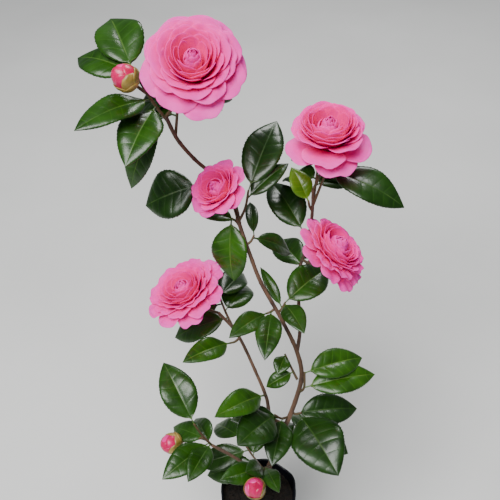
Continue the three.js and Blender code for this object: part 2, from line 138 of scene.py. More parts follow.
# Sprays: one twig each with its leaves, in a tone whose darker greens are partly painted shade. A leaf's row
# holds its place along the twig, its heading and rise in degrees and its length; broad and roll follow where
# they aren't usual.
LEAF_BROAD = 0.52
SPRAYS = {
    "top_left_spray": {
        "tone": "shade",
        "twig": [(-75, 101, 550), (-84, 99, 567), (-99, 101, 597)],
        "leaves": [
            (0.32, -108, -12, 62, 0.58), (0.2, -143, -58, 70, 0.4), (0.45, -136, 5, 70, 0.42),
            (0.9, 148, 0, 60, 0.58), (0.97, 112, 16, 66, 0.62),
        ],
        "bud": {"at": 0.55, "base": (-97, 93, 588), "facing": (-0.55, -0.35, 0.75)},
    },
    "crown_left_spray": {
        "tone": "dark",
        "twig": [(-42, 121, 482), (-49, 126, 475), (-55, 125, 468)],
        "leaves": [(0.95, 178, -26, 60, 0.8, -20)],
    },
    "upper_middle_spray": {
        "tone": "dark",
        "twig": [(-19, 86, 456), (-13, 91, 468), (-10, 96, 484)],
        "leaves": [(0.97, 68, 27, 76, 0.48), (0.75, 34, 27, 48, 0.42)],
    },
    "stem_left_spray": {
        "tone": "green",
        "twig": [(-17, 84.5, 452), (-21, 89, 455), (-25, 92, 456)],
        "leaves": [(1, -90, -64, 60, 0.62, 25), (0.6, 152, -2, 40, 0.45)],
    },
    "stem_right_spray": {
        "tone": "dark",
        "twig": [(-13, 77, 437), (-8, 79, 440), (-5, 83, 444)],
        "leaves": [(0.8, 23, -38, 52, 0.42), (0.97, 95, 10, 42, 0.3)],
    },
    "middle_left_spray": {
        "tone": "shade",
        "twig": [(14, 57, 376), (10, 55, 374), (6, 54, 373)],
        "leaves": [(0.9, -132, 13, 50, 0.44), (0.4, -97, 2, 56, 0.46)],
    },
    "middle_right_spray": {
        "tone": "shade",
        "twig": [(17, 56, 371), (21, 58, 376), (24, 61, 381)],
        "leaves": [(0.95, 44, 7, 60, 0.62), (0.85, -70, 13, 45, 0.5), (0.5, 121, 30, 44, 0.26)],
    },
    "right_top_spray": {
        "tone": "dark",
        "twig": [(46.5, 100, 462), (51, 97, 484), (56, 93, 509)],
        "leaves": [(0.97, -24, -11.5, 71, 0.48)],
    },
    "right_crown_spray": {
        "tone": "fresh",
        "twig": [(46.5, 101, 458), (44, 99, 464), (42.5, 98, 471)],
        "leaves": [(0.9, 125, 42, 34, 0.62)],
    },
    "right_middle_spray": {
        "tone": "dark",
        "twig": [(46, 107, 422), (43, 105, 426), (40, 104, 430)],
        "leaves": [(0.9, 118, 17, 66, 0.55)],
    },
    "left_bough_spray": {
        "tone": "green",
        "twig": [(-18, 43, 352), (-23, 42, 347), (-28, 43, 344)],
        "leaves": [(0.95, -138, 20, 56, 0.44)],
    },
    "left_low_spray": {
        "tone": "green",
        "twig": [(6.5, 21, 294), (5, 18, 297), (4, 16, 299)],
        "leaves": [(0.9, -135, 27, 66, 0.42)],
    },
    "right_low_spray": {
        "tone": "green",
        "twig": [(39, 25, 292), (43, 23, 301), (43.5, 30, 317)],
        "leaves": [(0.4, 12, 3, 72, 0.44), (0.97, 22, -4, 64, 0.5)],
    },
    "stem_low_spray": {
        "tone": "green",
        "twig": [(37, 31, 304), (31, 40, 312), (25, 48, 322)],
        "leaves": [(0.97, -110, -8, 22, 0.8), (0.3, 200, -20, 30, 0.6)],
    },
    "right_front_spray": {
        "tone": "dark",
        "twig": [(32, 19, 268), (37, 17, 267), (42, 17, 270)],
        "leaves": [(0.7, -64, 3, 74, 0.72), (0.3, 12, -8, 68, 0.5)],
    },
    "front_spray": {
        "tone": "dark",
        "twig": [(29, 17, 262), (22, 10, 270), (15, 6, 282)],
        "leaves": [(0.97, -128, 20, 58, 0.68), (0.4, -102, 6, 54, 0.55), (0.6, -166, 17, 50, 0.5)],
    },
    "foot_spray": {
        "tone": "shade",
        "twig": [(12, 5, 192), (8, -4, 204), (0, -12, 212)],
        "leaves": [(0.6, -72, 28, 42, 0.45), (0.9, -150, 25, 48), (0.75, -128, 50, 40)],
        "bud": {"at": 0.95, "base": (-3, -34, 213), "facing": (-0.1, -0.35, 0.93)},
    },
    "low_left_spray": {
        "tone": "shade",
        "twig": [(-47, 0, 239), (-55, 0, 255), (-63, 2, 273)],
        "leaves": [
            (0.97, 122, 28, 68, 0.54), (0.08, 114, -16, 46), (0.35, 145, -20, 46), (0.12, -134, 8, 60, 0.5),
            (0.05, -112, 14, 50, 0.5),
        ],
        "bud": {"at": 0.4, "base": (-79, 4, 238), "facing": (-0.75, -0.4, 0.4)},
    },
}

# Sprays at the back, all of one tone, the darker green of painted shade: where the twig leaves its limb, its
# heading and rise in degrees, its length, and how many leaves the seeded rule grows on it
GROWN_TONE = "shade"
GROWN_SPRAYS = {
    "crown_back_spray": {
        "on": "crown_bough", "at": 0.8, "heading": 85, "rise": 45, "length": 52, "count": 6, "seed": 11,
    },
    "right_back_spray": {
        "on": "right_bough", "at": 0.9, "heading": 80, "rise": 20, "length": 44, "count": 6, "seed": 23,
    },
    "right_side_spray": {
        "on": "right_bough", "at": 0.42, "heading": 60, "rise": -5, "length": 36, "count": 5, "seed": 31,
    },
    "left_back_spray": {
        "on": "left_bough", "at": 0.86, "heading": 115, "rise": 15, "length": 40, "count": 5, "seed": 37,
    },
    "low_right_back_spray": {
        "on": "main_stem", "at": 0.22, "heading": 35, "rise": 10, "length": 45, "count": 5, "seed": 41,
    },
    "low_left_back_spray": {
        "on": "main_stem", "at": 0.12, "heading": 130, "rise": 12, "length": 45, "count": 5, "seed": 53,
    },
}


# Small shared tools

CHANCE_STEP = 12.9898
CHANCE_SCALE = 43758.5453
FULL_PHASE = 6.3
CURVE_STEPS = 24
BEND_POINTS = 33
LOOK_AHEAD = 0.002
TINY = 1e-9


def vector(point):
    return np.array(point, float)


def unit(arrow):
    return arrow / np.linalg.norm(arrow)


def mix(a, b, share):
    return a + (b - a) * share


def smooth(share):
    share = np.clip(share, 0, 1)
    return share * share * (3 - 2 * share)


def smooth_from(start, end, value):
    """A smooth step: 0 up to the start and 1 from the end on."""
    return smooth((value - start) / (end - start))


def chance(index):
    """A repeatable number from 0 to 1 for any whole number, the same as in the solids."""
    wave = math.sin(index * CHANCE_STEP) * CHANCE_SCALE
    return wave - math.floor(wave)


def between(ends, index):
    """A repeatable number between two ends."""
    return mix(*ends, chance(index))


def direction(heading, rise):
    turn, climb = math.radians(heading), math.radians(rise)
    return np.array([math.cos(turn) * math.cos(climb), math.sin(turn) * math.cos(climb), math.sin(climb)])


def turned(arrow, axis, degrees):
    """An arrow turned about a unit axis."""
    c, s = math.cos(math.radians(degrees)), math.sin(math.radians(degrees))
    return arrow * c + np.cross(axis, arrow) * s + axis * (axis @ arrow) * (1 - c)


def full_turn(count):
    """Evenly spread angles round a full turn."""
    return np.linspace(0, 2 * math.pi, count, endpoint=False)


def frame_about(facing):
    """A unit axis with two unit arrows square to it and to each other."""
    axis = unit(vector(facing))
    right = unit(np.cross(UP, axis))
    return axis, right, np.cross(axis, right)


def arrows_round(angle, right, ahead):
    """An arrow out from an axis for each angle."""
    return np.cos(angle)[..., None] * right + np.sin(angle)[..., None] * ahead


class Line:
    """A smooth line in space, read by a share of its length."""

    def __init__(self, samples):
        self.samples = samples
        steps = np.linalg.norm(np.diff(samples, axis=0), axis=1)
        self.marks = np.concatenate([[0], np.cumsum(steps)])
        self.length = self.marks[-1]

    def at(self, share):
        return np.array([np.interp(share * self.length, self.marks, axis) for axis in self.samples.T])

    def ahead(self, share):
        return unit(self.at(min(1, share + LOOK_AHEAD)) - self.at(max(0, share - LOOK_AHEAD)))


def line_through(points):
    """The centripetal curve through the points."""
    p = np.array(points, float)
    p = np.vstack([2 * p[0] - p[1], p, 2 * p[-1] - p[-2]])
    t = np.linspace(0, 1, CURVE_STEPS, endpoint=False)[:, None]
    samples = []
    for i in range(len(p) - 3):
        a, b, c, d = p[i : i + 4]
        d0, d1, d2 = (math.sqrt(np.linalg.norm(v)) for v in (b - a, c - b, d - c))
        start = ((b - a) / d0 - (c - a) / (d0 + d1) + (c - b) / d1) * d1
        end = ((c - b) / d1 - (d - b) / (d1 + d2) + (d - c) / d2) * d1
        square = 3 * (c - b) - 2 * start - end
        cube = 2 * (b - c) + start + end
        samples.append(b + start * t + square * t**2 + cube * t**3)
    return Line(np.vstack([*samples, p[-2:-1]]))


def bent_line(start, bend, end):
    """A line that leaves its start toward the bend and comes to its end from there."""
    t = np.linspace(0, 1, BEND_POINTS)[:, None]
    return Line((1 - t) ** 2 * start + 2 * t * (1 - t) * bend + t**2 * end)


def linked(name, data):
    """A new object in the scene."""
    made = bpy.data.objects.new(name, data)
    bpy.context.scene.collection.objects.link(made)
    return made


# Meshes that are gathered from many small grids

END_RING = 0.02
FEWEST_RINGS = 3

# Slanting directions that no turned body and no limb starts along; their rings are set out from them
TURNED_ASIDE = (0.3, 0.5, 0.81)
LIMB_ASIDE = (0.31, 0.87, 0.38)


class Gathered:
    """Points and faces of many small forms that become one mesh, with a look for each face."""

    def __init__(self):
        self.points, self.faces, self.looks = [], [], []
        self.count = 0

    def add(self, points, faces, looks=0):
        self.points.append(points)
        self.faces.append(faces + self.count)
        self.looks.append(np.broadcast_to(looks, len(faces)))
        self.count += len(points)

    def make(self, name, materials, slot, nodes):
        """One piece, in metres, that rides on the plant's body and stands for its nodes."""
        points = np.vstack(self.points) * MM
        faces = np.vstack(self.faces)
        mesh = bpy.data.meshes.new(name)
        mesh.from_pydata(points.tolist(), [], faces.tolist())
        for material in materials:
            mesh.materials.append(material)
        mesh.polygons.foreach_set("material_index", np.concatenate(self.looks).astype(np.int32))
        mesh.polygons.foreach_set("use_smooth", np.ones(len(faces), bool))
        mesh.update()
        piece = linked(name, mesh)
        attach(piece, BODY)
        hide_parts(*nodes)


def sheet_faces(rows, columns):
    """Quads of a closed thin sheet: its upper grid, its lower grid and the rim between them."""
    grid = np.arange(rows * columns).reshape(rows, columns)
    upper = np.stack([grid[:-1, :-1], grid[:-1, 1:], grid[1:, 1:], grid[1:, :-1]], -1).reshape(-1, 4)
    ring = np.concatenate([grid[0, :-1], grid[:-1, -1], grid[-1, :0:-1], grid[:0:-1, 0]])
    after = np.roll(ring, -1)
    below = rows * columns
    rim = np.stack([after, ring, ring + below, after + below], -1)
    return upper, upper[:, ::-1] + below, rim


def tube_faces(rings, sides):
    """Quads of a tube through rings of points. It has no end faces: an end closes where its ring is tiny."""
    grid = np.arange(rings * sides).reshape(rings, sides)
    after = np.roll(grid, -1, axis=1)
    return np.stack([grid[:-1], after[:-1], after[1:], grid[1:]], -1).reshape(-1, 4)


def add_thick(gathered, middle, half, top, under, edge):
    """A closed thin sheet round its middle grid, where half is the way from there to its upper side."""
    upper, lower, rim = sheet_faces(*middle.shape[:2])
    points = np.vstack([(middle + half).reshape(-1, 3), (middle - half).reshape(-1, 3)])
    looks = np.concatenate([top, under, np.full(len(rim), edge)])
    gathered.add(points, np.vstack([upper, lower, rim]), looks)


def add_turned(gathered, base, axis, profile, sides):
    """A body turned about an axis, from a profile of (radius, height) that starts and ends near the axis."""
    axis = unit(axis)
    right = unit(np.cross(axis, TURNED_ASIDE))
    ahead = np.cross(axis, right)
    turns = full_turn(sides)
    radius, height = np.array(profile, float).T
    ring = np.outer(np.cos(turns), right) + np.outer(np.sin(turns), ahead)
    points = base + ring[None] * radius[:, None, None] + height[:, None, None] * axis
    gathered.add(points.reshape(-1, 3), tube_faces(len(profile), sides))


def add_limb(gathered, line, radius_at, sides, step, relief=None):
    """A limb along a line, ended by tiny rings. Its frame is carried along, so it doesn't twist."""
    normal = unit(np.cross(line.ahead(0), LIMB_ASIDE))
    turns = full_turn(sides)
    rings = []
    for share in np.linspace(0, 1, max(FEWEST_RINGS, round(line.length / step) + 1)):
        ahead = line.ahead(share)
        normal = unit(normal - ahead * (normal @ ahead))
        across = np.cross(ahead, normal)
        radius = radius_at(share) * np.ones(sides)
        if relief is not None:
            radius = radius * relief(share * line.length, turns)
        ring = np.outer(np.cos(turns) * radius, normal) + np.outer(np.sin(turns) * radius, across)
        if share == 0:
            rings.append(line.at(share) + ring * END_RING)
        rings.append(line.at(share) + ring)
    rings.append(line.at(1) + ring * END_RING)
    gathered.add(np.vstack(rings), tube_faces(len(rings), sides))


def add_twig(gathered, line, radius_at):
    add_limb(gathered, line, radius_at, TWIG_SIDES, TWIG_STEP)


# Materials

NOISE_DETAIL = 6
FINER = 6
RAMP_ENDS = (0.32, 0.68)


def colour_of(red, green, blue):
    """A linear colour from screen values of 0 to 255, by the screen's own curve."""
    shares = [value / 255 for value in (red, green, blue)]
    return tuple(s / 12.92 if s <= 0.04045 else ((s + 0.055) / 1.055) ** 2.4 for s in shares) + (1,)


def material(name, low, high, scale, roughness, bump, distance, stretch=(1, 1, 1), **sockets):
    """A surface whose colour drifts between two shades by noise, with a finer noise as its bump."""
    made = bpy.data.materials.new(name)
    made.use_nodes = True
    nodes, links = made.node_tree.nodes, made.node_tree.links
    shader = nodes["Principled BSDF"]
    place = nodes.new("ShaderNodeTexCoord")
    mapping = nodes.new("ShaderNodeMapping")
    mapping.inputs["Scale"].default_value = stretch
    links.new(place.outputs["Object"], mapping.inputs["Vector"])

    def noise_of(size):
        noise = nodes.new("ShaderNodeTexNoise")
        noise.inputs["Scale"].default_value = size
        noise.inputs["Detail"].default_value = NOISE_DETAIL
        links.new(mapping.outputs["Vector"], noise.inputs["Vector"])
        return noise.outputs["Fac"]

    coarse = noise_of(scale)
    ramp = nodes.new("ShaderNodeValToRGB")
    for element, position, colour in zip(ramp.color_ramp.elements, RAMP_ENDS, (low, high)):
        element.position = position
        element.color = colour
    links.new(coarse, ramp.inputs["Fac"])
    links.new(ramp.outputs["Color"], shader.inputs["Base Color"])
    relief = nodes.new("ShaderNodeBump")
    relief.inputs["Strength"].default_value = bump
    relief.inputs["Distance"].default_value = distance
    links.new(noise_of(scale * FINER), relief.inputs["Height"])
    links.new(relief.outputs["Normal"], shader.inputs["Normal"])
    spread = nodes.new("ShaderNodeMapRange")
    spread.inputs["To Min"].default_value = roughness[0]
    spread.inputs["To Max"].default_value = roughness[1]
    links.new(coarse, spread.inputs["Value"])
    links.new(spread.outputs["Result"], shader.inputs["Roughness"])
    for socket, value in sockets.items():
        shader.inputs[socket.replace("_", " ")].default_value = value
    return made


# The order of the looks in a leaf's pieces
BLADE_LOOK, RIB_LOOK, UNDER_LOOK, VEIN_LOOK = range(4)


def leaf_looks(tone, low, high, rib):
    """The upper face, the midrib, the paler underside and the side veins of one tone of leaf."""
    glossy = {"scale": 60, "bump": 0.3, "distance": 0.0005, "Specular_IOR_Level": 0.4}
    pale = tuple(min(1, v * 1.7 + 0.02) for v in high[:3]) + (1,)
    vein = tuple(mix(a, b, 0.08) for a, b in zip(high, rib))
    return [
        material(f"leaf_{tone}", low, high, roughness=(0.25, 0.36), **glossy),
        material(
            f"leaf_{tone}_rib", vein, rib, scale=90, roughness=(0.34, 0.45), bump=0.1, distance=0.0003),
        material(
            f"leaf_{tone}_under", high, pale, scale=50, roughness=(0.5, 0.6), bump=0.2, distance=0.0003),
        material(f"leaf_{tone}_vein", high, vein, roughness=(0.26, 0.36), **glossy),
    ]


# Tones of leaf: dark and shade are darker greens, partly older leaves' own tone and partly painted shade for
# sprays that stand in shadow low in the shrub and at the back; green is the leaves' green in the light; fresh
# is the young leaves' own yellower green
LEAF_TONES = {
    "dark": leaf_looks("dark", (0.004, 0.019, 0.001, 1), (0.011, 0.044, 0.002, 1), (0.04, 0.085, 0.012, 1)),
    "green": leaf_looks("green", (0.011, 0.044, 0.001, 1), (0.028, 0.1, 0.003, 1), (0.09, 0.16, 0.018, 1)),
    "shade": leaf_looks("shade", (0.007, 0.03, 0.001, 1), (0.018, 0.068, 0.003, 1), (0.06, 0.12, 0.015, 1)),
    "fresh": leaf_looks("fresh", (0.045, 0.115, 0.003, 1), (0.1, 0.2, 0.006, 1), (0.2, 0.3, 0.03, 1)),
}

# The petals' pinks from pale to deep, in steps; the deeper steps carry painted shade as well as the inner
# petals' own tone
PETAL_SHADES = 8
PALE_PETAL = (1.0, 0.075, 0.43)
DEEP_PETAL = (0.95, 0.008, 0.26)
SHADE_DRIFT = 0.12


def petal_colour(depth):
    """The petals' pink, from 0 at the pale outer tips to 1 deep inside, where the deep end is partly the
    inner petals' own tone and partly painted shade.
    """
    depth = max(0, min(1, depth))
    return tuple(pale * (deep / pale) ** depth for pale, deep in zip(PALE_PETAL, DEEP_PETAL)) + (1,)


def petal_look(shade):
    depth = shade / (PETAL_SHADES - 1)
    return material(
        f"petal_{shade}", petal_colour(depth + SHADE_DRIFT), petal_colour(depth - SHADE_DRIFT), scale=70,
        roughness=(0.45, 0.6), bump=0.12, distance=0.0003, Subsurface_Weight=0.45, Subsurface_Scale=0.005,
        Subsurface_Radius=(1.0, 0.35, 0.6), Specular_IOR_Level=0.08)


PETAL_LOOKS = [petal_look(shade) for shade in range(PETAL_SHADES)]

# The order of the looks in the pieces of the buds and the sepals
PINK_LOOK, SEPAL_LOOK, PALE_LOOK = range(3)
BUD_SHEEN = {"scale": 150, "roughness": (0.28, 0.4), "bump": 0.1, "distance": 0.0003}
BUD_LOOKS = [
    material("bud_petal", (0.44, 0.001, 0.05, 1), (0.62, 0.003, 0.12, 1), **BUD_SHEEN),
    material(
        "sepal", colour_of(88, 80, 18), colour_of(180, 146, 76), scale=90, roughness=(0.35, 0.5),
        bump=0.25, distance=0.0003),
    material("bud_pale", (0.7, 0.006, 0.17, 1), (0.86, 0.03, 0.32, 1), **BUD_SHEEN),
]
BARK = material(
    "bark", colour_of(58, 40, 29), colour_of(108, 79, 60), scale=140, roughness=(0.7, 0.9), bump=0.6,
    distance=0.0008, stretch=(1, 1, 0.25))
TWIG = material(
    "twig", colour_of(66, 58, 26), colour_of(92, 64, 42), scale=160, roughness=(0.55, 0.75), bump=0.4,
    distance=0.0004)
FILM = material(
    "bag_film", colour_of(15, 15, 21), colour_of(30, 31, 42), scale=40, roughness=(0.18, 0.32), bump=0.5,
    distance=0.0012)
# The soil's own dark brown, darkened nearly to black as painted shade of the bag's inside under the leaves
SOIL_WITH_PAINTED_SHADE = material(
    "soil", colour_of(14, 11, 9), colour_of(42, 31, 24), scale=220, roughness=(0.85, 0.97), bump=0.9,
    distance=0.002)


# Leaves. A pair named ENDS holds the two values that a leaf's own value lies between.

# In millimetres, the puff on a leaf of the usual half width
PETIOLE_HALF_WIDTH = 0.5
PETIOLE_HALF_DEPTH = 0.8
GROOVE_DEPTH = 0.4
USUAL_HALF_WIDTH = 15
PUFF_ENDS = (0.1, 0.35)

# Shares of the length; for the widest place, of the length beyond the petiole
PETIOLE_END = 0.1
LEAF_WIDEST = 0.44
LEAF_BOW = 0.07
DROOP_ENDS = (0.02, 0.08)
VEIN_SLANT = 0.6

# Shares of the half width
TOOTH_DEPTH = 0.05
TOOTH_START = 0.8
EDGE_CURL = 0.2
WAVE_DEPTH = 0.09
GROOVE_HALF_WIDTH = 0.05

# Counts, powers and angles; the two sides wave out of step by the shift
VEIN_PAIRS = 7
TEETH = 24
BASE_POWER = 0.75
TIP_POWER = 0.95
LEAF_FOLD = math.radians(14)
FOLD_ENDS = (0.7, 1.4)
TWIST_ENDS = (-14, 14)
WAVE_ENDS = (1, 1.8)
SIDE_SHIFT = 1.7

VEIN_STEPS = [0, 0.04, 0.15, 0.27, 0.39, 0.5, 0.61, 0.73, 0.85, 0.96]
LEAF_ROWS = np.array([(pair + step) / VEIN_PAIRS for pair in range(VEIN_PAIRS) for step in VEIN_STEPS] + [1])
LEAF_COLUMNS = np.array([-1, -0.88, -0.72, -0.52, -0.3, -0.12, -0.03, 0.03, 0.12, 0.3, 0.52, 0.72, 0.88, 1])

# The test for room measures between some points of the leaves that stand and some of the new leaf
STANDING_ROWS = slice(None, None, 8)
STANDING_COLUMNS = slice(None, None, 4)
TESTED_ROWS = slice(12, None, 10)
TESTED_COLUMNS = slice(None, None, 6)
LEAF_ROOM = 3


def leaf_outline(share):
    """Half the blade's width as a share of its widest: an oval, drawn out to a point at the tip."""
    along = np.clip((share - PETIOLE_END) / (1 - PETIOLE_END), 0, 1)
    widest = LEAF_WIDEST**BASE_POWER * (1 - LEAF_WIDEST) ** TIP_POWER
    return (along**BASE_POWER * (1 - along) ** TIP_POWER) / widest


def leaf_frame(base, heading, rise, length, broad=LEAF_BROAD, roll=0):
    along = direction(heading, rise)
    face = turned(unit(SUNWARD - along * (SUNWARD @ along)), along, roll)
    return {
        "base": base, "along": along, "face": face, "side": np.cross(along, face),
        "length": length, "half": length * broad / 2,
    }


def leaf_grid(leaf, seed):
    """The blade's middle surface: bowed, folded along the midrib, puffed between its veins and toothed.

    The rows slant forward from the midrib, so each vein runs along one row.
    """
    row, across = np.meshgrid(LEAF_ROWS, LEAF_COLUMNS, indexing="ij")
    rest = np.abs(across)
    share = row + VEIN_SLANT * rest * row * (1 - row) ** 1.5
    blade = leaf_outline(share)
    tooth = 1 - TOOTH_DEPTH * ((row * TEETH) % 1) * smooth_from(TOOTH_START, 1, rest)
    half = np.maximum(PETIOLE_HALF_WIDTH, leaf["half"] * blade * tooth)
    fold = blade * LEAF_FOLD * between(FOLD_ENDS, seed + 3)
    bow = LEAF_BOW * 4 * share * (1 - share) - between(DROOP_ENDS, seed) * share**4
    puff = np.sin(math.pi * ((row * VEIN_PAIRS) % 1)) ** 0.7
    body = blade * np.clip(rest * 6, 0, 1) * (1 - rest**3)
    waves = between(WAVE_ENDS, seed + 1) * share + chance(seed + 2)
    wave = np.sin(2 * math.pi * waves + (across > 0) * SIDE_SHIFT)
    twist = math.radians(between(TWIST_ENDS, seed + 4)) * share**2
    lift = (
        leaf["length"] * bow
        + rest * half * np.sin(fold)
        - EDGE_CURL * half * rest**4
        + body * (puff - 0.5) * between(PUFF_ENDS, seed + 5) * leaf["half"] / USUAL_HALF_WIDTH
        + WAVE_DEPTH * half * rest**2 * wave
        - GROOVE_DEPTH * blade * (rest < GROOVE_HALF_WIDTH)
        + across * half * np.sin(twist)
    )
    out = across * half * np.cos(fold)
    return (
        leaf["base"]
        + (leaf["length"] * share)[..., None] * leaf["along"]
        + lift[..., None] * leaf["face"]
        + out[..., None] * leaf["side"]
    )


def add_leaf(gathered, leaf, seed):
    """One leaf with a look for each face. It returns some of its points, for the test for room."""
    middle = leaf_grid(leaf, seed)
    half = np.where(LEAF_ROWS <= PETIOLE_END, PETIOLE_HALF_DEPTH, LEAF_THICKNESS / 2)[:, None, None]
    rows, strips = len(LEAF_ROWS) - 1, len(LEAF_COLUMNS) - 1
    row, strip = np.divmod(np.arange(rows * strips), strips)
    step = row % len(VEIN_STEPS)
    is_rib = strip == strips // 2
    is_stalk = row < PETIOLE_END * rows
    is_vein = ((step == 0) | (step == len(VEIN_STEPS) - 1)) & (strip > 0) & (strip < strips - 1)
    top = np.where(is_rib | is_stalk, RIB_LOOK, np.where(is_vein, VEIN_LOOK, BLADE_LOOK))
    under = np.where(is_stalk, RIB_LOOK, UNDER_LOOK)
    add_thick(gathered, middle, half * leaf["face"], top, under, BLADE_LOOK)
    return middle[STANDING_ROWS, STANDING_COLUMNS].reshape(-1, 3)


def has_room(leaf, taken):
    """Whether a leaf keeps clear of the leaves of the sprays before its own."""
    tested = leaf_grid(leaf, 0)[TESTED_ROWS, TESTED_COLUMNS].reshape(-1, 3)
    gaps = (np.linalg.norm(points[:, None] - tested[None], axis=-1).min() for points in taken)
    return min(gaps, default=LEAF_ROOM) >= LEAF_ROOM


# Blooms: the petals turn round the axis by the golden angle, from the outermost inward. Spreads and turns
# are in degrees, the sepals' lift and thickness in millimetres, and other sizes shares of the bloom's or
# the petal's own.

PETAL_ROWS = np.append(np.linspace(0.08, 0.98, 15), 1)
PETAL_COLUMNS = np.sin(np.linspace(-math.pi / 2, math.pi / 2, 21))
PETAL_SCALLOP = 0.025
PETAL_NOTCH = 0.06
NOTCH_HALF_WIDTH = 0.16
PETAL_RIPPLE = 0.03
PETAL_EDGE = 0.35
PETAL_BASE = 0.04
BASE_SPREAD = 0.6
INNER_SPREAD = 50
SKIRT_DRIFT = 0.04
LEAN_TOP = 1.1
HEART_ROOM = 1.45
HEART_RINGS = 4
HEART_PETALS = 5
HEART_ROUNDING = 0.36
# Inner petals' pink: partly their own deeper coral tone, partly painted shade of the bowl round the heart
INNER_TONE_AND_SHADE = 0.75
HEART_DEPTH_OF_COLOUR = 0.38
# Painted shade: how much deeper the pink grows toward each petal's base, where the petals overlap
BASE_PAINTED_SHADE = 0.5
STALK_BEND = 0.4
LOBE_ENDS = (3, 5)
RIPPLE_ENDS = (5, 10)
OUT_ENDS = (0.97, 1.04)
HIGH_ENDS = (-0.05, 0.05)
TURN_ENDS = (-5, 5)
SPREAD_ENDS = (0.92, 1.1)
HEART_OUT_ENDS = (0.9, 1.1)
HEART_HIGH_ENDS = (0.95, 1.05)
HEART_LEAN_ENDS = (0.75, 1.25)

# Steps in the count of chances: to the next bloom, from open petals to the heart, to the heart's next
# ring and to the next open petal
BLOOM_SEEDS = 1000
HEART_SEEDS = 500
RING_SEEDS = 10
PETAL_SEEDS = 7

SEPALS = 6
SEPAL_SPREAD = 45
SEPAL_LIFT = 0.4
SEPAL_THICKNESS = 0.6

# Scales, which are the sepals of blooms and the parts that wrap buds
SCALE_POINTS = 9
SCALE_TIP = 0.97
SCALE_FLARE = 0.6


def bent_sheet(bloom, curve, turn, spread, rounding, seed):
    """A petal on a cup round the bloom's axis, along a curve of (out, high) points from base to tip."""
    axis, right, ahead = frame_about(bloom["facing"])
    share, across = np.meshgrid(PETAL_ROWS, PETAL_COLUMNS, indexing="ij")
    rounded = np.sqrt(1 - (0.99 * across) ** 2)
    notched = smooth((chance(seed) - 0.4) * 3)
    notch = PETAL_NOTCH * notched * np.exp(-((across / NOTCH_HALF_WIDTH) ** 2)) * share**6
    lobes = np.abs(np.sin(across * between(LOBE_ENDS, seed + 3) + chance(seed) * 3))
    scallop = PETAL_SCALLOP * lobes * share**4
    reach = share * (1 - rounding * (1 - rounded)) - notch - scallop
    weights = [(1 - reach) ** 3, 3 * (1 - reach) ** 2 * reach, 3 * (1 - reach) * reach**2, reach**3]
    out, high = (sum(weight * point[k] for weight, point in zip(weights, curve)) for k in (0, 1))
    ripple = np.sin(across * between(RIPPLE_ENDS, seed + 1) + chance(seed + 2) * FULL_PHASE) * share**2
    angle = turn + across * math.radians(spread) * mix(BASE_SPREAD, 1, smooth(share * 1.5))
    lift = high + PETAL_RIPPLE * bloom["radius"] * ripple * np.clip(out / bloom["radius"], 0, 1)
    pushed = bloom["lean"] * np.clip(high / bloom["height"], 0, LEAN_TOP)
    return (
        vector(bloom["base"])
        + out[..., None] * arrows_round(angle, right, ahead)
        + lift[..., None] * axis
        + pushed[..., None] * ahead
    )


def petal_inward(bloom, index):
    """How far in a petal's tip stands, from 0 on the rim to 1 at the heart: a full skirt, then even tiers."""
    marks = [0, bloom["skirt"] - 1, bloom["skirt"], bloom["petals"]]
    return np.interp(index, marks, [0, SKIRT_DRIFT, bloom["gap"], 1])


def open_petal(bloom, index, seed):
    """The outer petals lie flat, the next ones rise and roll out at the tip, and the inner ones stand."""
    inward = petal_inward(bloom, index)
    height = bloom["height"]
    out = bloom["radius"] * mix(1, HEART_ROOM * bloom["heart"], inward) * between(OUT_ENDS, seed)
    tier = mix(bloom["rim"], 1, math.sqrt(1 - (1 - inward) ** 2))
    high = height * (tier + between(HIGH_ENDS, seed + 1))
    opened = max(0, 1 - 2 * inward)
    steep = max(0, 2 * inward - 1)
    first_high = mix(0.15 * high, 0.9 * max(high, 0.1 * height), opened)
    curve = [
        (PETAL_BASE * out, 0),
        (out * mix(mix(0.5, 0.35, opened), 0.85, steep), first_high),
        (out * mix(mix(0.74, 0.75, opened), 1.1, steep), mix(0.85 * high, high + 0.14 * height, opened)),
        (out, high),
    ]
    turn = math.radians(bloom["turn"] + index * GOLDEN_TURN + between(TURN_ENDS, seed + 2))
    spread = mix(bloom["spread"], INNER_SPREAD, inward**1.3) * between(SPREAD_ENDS, seed + 3)
    return bent_sheet(bloom, curve, turn, spread, mix(0.4, 0.48, opened), seed + 4)


def heart_petal(bloom, ring, index, seed):
    """The heart is a small dome of rings of petals that close over each other, higher toward the middle."""
    inward = ring / (HEART_RINGS - 1)
    out = bloom["radius"] * bloom["heart"] * mix(1, 0.25, inward) * between(HEART_OUT_ENDS, seed)
    crest = bloom["height"] * bloom["crest"]
    high = crest * mix(0.84, 1.0, inward) * between(HEART_HIGH_ENDS, seed + 1)
    lean = mix(0.75, 0.25, inward) * between(HEART_LEAN_ENDS, seed + 2)
    curve = [(0.5 * out, 0), (1.2 * out, 0.5 * high), (1.3 * out, 0.96 * high), (lean * out, high)]
    turn = 2 * math.pi * (index + 0.5 * ring + 0.4 * chance(seed + 3)) / HEART_PETALS
    return bent_sheet(bloom, curve, turn, mix(44, 60, inward), HEART_ROUNDING, seed + 4)


def petal_looks(depth):
    """A petal's shades from its base to its tip, where depth is the tip's own and the strips toward the base
    are deepened by painted shade.
    """
    strips = (PETAL_ROWS[:-1] + PETAL_ROWS[1:]) / 2
    depths = depth + BASE_PAINTED_SHADE * np.clip(2 * (1 - strips), 0, 1)
    return np.clip(np.round(depths * (PETAL_SHADES - 1)), 0, PETAL_SHADES - 1).astype(int)


def surface_normals(grid):
    """Unit normals of a grid of points, rows along and columns across."""
    along = np.gradient(grid, axis=0)
    across = np.gradient(grid, axis=1)
    normals = np.cross(across, along)
    return normals / np.maximum(np.linalg.norm(normals, axis=-1, keepdims=True), TINY)


